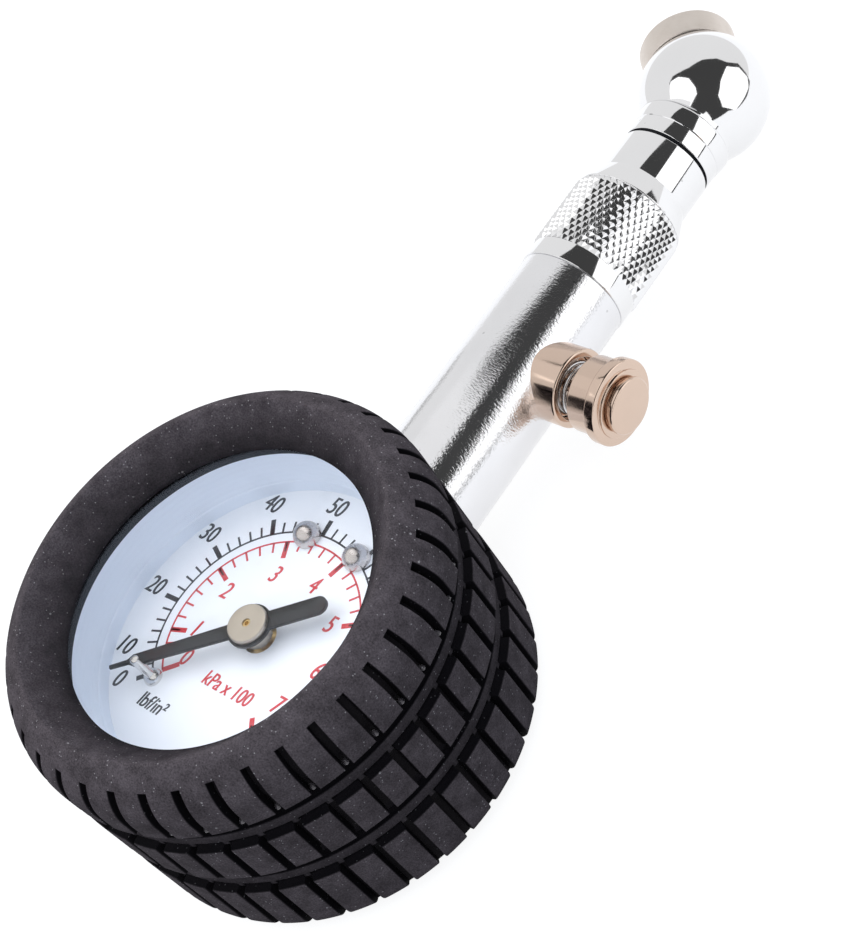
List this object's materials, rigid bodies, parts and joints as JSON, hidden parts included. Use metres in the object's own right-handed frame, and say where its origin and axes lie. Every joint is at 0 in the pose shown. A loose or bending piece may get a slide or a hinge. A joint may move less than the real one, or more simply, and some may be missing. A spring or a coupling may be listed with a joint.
{
  "type": "dial tyre gauge",
  "caption": "Hand-held dial tyre gauge: tyre-shaped rubber boot round a needle dial, chromed stem with a bleed button, and a swivelling ball chuck.",
  "frame": {"origin": "on the gauge axis in the plane of the boot's back rim", "axes": "+Z out through the dial, +Y along the stem from the gauge to the chuck, +X towards the bleed button"},
  "size_m": [0.053, 0.1293, 0.0334],
  "materials": {
    "boot_rubber": "matte, dusty, moulded",
    "case_steel": "satin",
    "clear_lens": "clear",
    "black_rubber": "matte",
    "white_enamel": "smooth, printed",
    "steel": "bright",
    "black_paint": "matte",
    "nickel": "spun",
    "brass": "machined",
    "chrome": "polished",
    "satin_nickel": "satin",
    "spring_wire": "drawn wire",
    "warm_nickel": "polished"
  },
  "bodies": {
    "gauge": {"rubber_boot": "boot_rubber", "case_shell": "case_steel", "lens": "clear_lens", "lens_gasket": "black_rubber", "dial_rim": "white_enamel", "dial_plate": "white_enamel", "dial_screws": "steel", "stop_pin": "steel", "lower_plate": "brass", "upper_plate": "brass", "movement_pillars": "brass", "movement_screws": "steel", "hairspring": "steel", "bourdon_tube": "brass", "bourdon_tip": "brass", "socket_block": "brass", "stem_tube": "chrome", "knurled_collar": "chrome", "bleed_body": "warm_nickel", "bleed_spring": "spring_wire"},
    "pointer": {"pointer": "black_paint", "pointer_disc": "nickel", "pointer_arbor": "brass"},
    "sector": {"sector_gear": "brass"},
    "link": {"link_bar": "steel"},
    "bleed": {"bleed_head": "warm_nickel", "bleed_button": "warm_nickel", "bleed_seal": "black_rubber"},
    "chuck": {"ball_head": "chrome", "swivel_ring": "black_rubber", "swivel_seal": "black_rubber", "swivel_clip": "steel", "chuck_cap": "satin_nickel", "chuck_seal": "black_rubber", "check_spring": "spring_wire"},
    "check": {"check_valve": "brass"}
  },
  "joints": [
    {"name": "sector_turn", "type": "hinge", "parent": "gauge", "child": "sector", "pos_m": [0.0099, 0, 0.0146], "axis": [0, 0, 1], "range_deg": [0, 33.5]},
    {"name": "pointer_turn", "type": "hinge", "parent": "gauge", "child": "pointer", "pos_m": [0, 0, 0.0146], "axis": [0, 0, -1], "range_deg": [0, 268]},
    {"name": "link_turn", "type": "hinge", "parent": "sector", "child": "link", "pos_m": [0.0086, -0.00431, 0.014], "axis": [0, 0, -1], "range_deg": [0, 33.5]},
    {"name": "bleed_press", "type": "slide", "parent": "gauge", "child": "bleed", "axis": [-1, 0, 0], "range_m": [0, 0.0014], "stiffness_N_per_m": 900, "springref_m": -0.0012, "deforming": ["bleed_spring"]},
    {"name": "chuck_swivel", "type": "hinge", "parent": "gauge", "child": "chuck", "pos_m": [0, 0.09141, 0.0103], "axis": [0, 1, 0], "continuous": true},
    {"name": "check_press", "type": "slide", "parent": "chuck", "child": "check", "axis": [0.7044, -0.7071, -0.0616], "range_m": [0, 0.0012], "stiffness_N_per_m": 400, "springref_m": -0.001, "deforming": ["check_spring"]}
  ],
  "couplings": [
    {"joint": "sector_turn", "follows": "pointer_turn", "ratio": 0.125},
    {"joint": "link_turn", "follows": "pointer_turn", "ratio": 0.125}
  ]
}
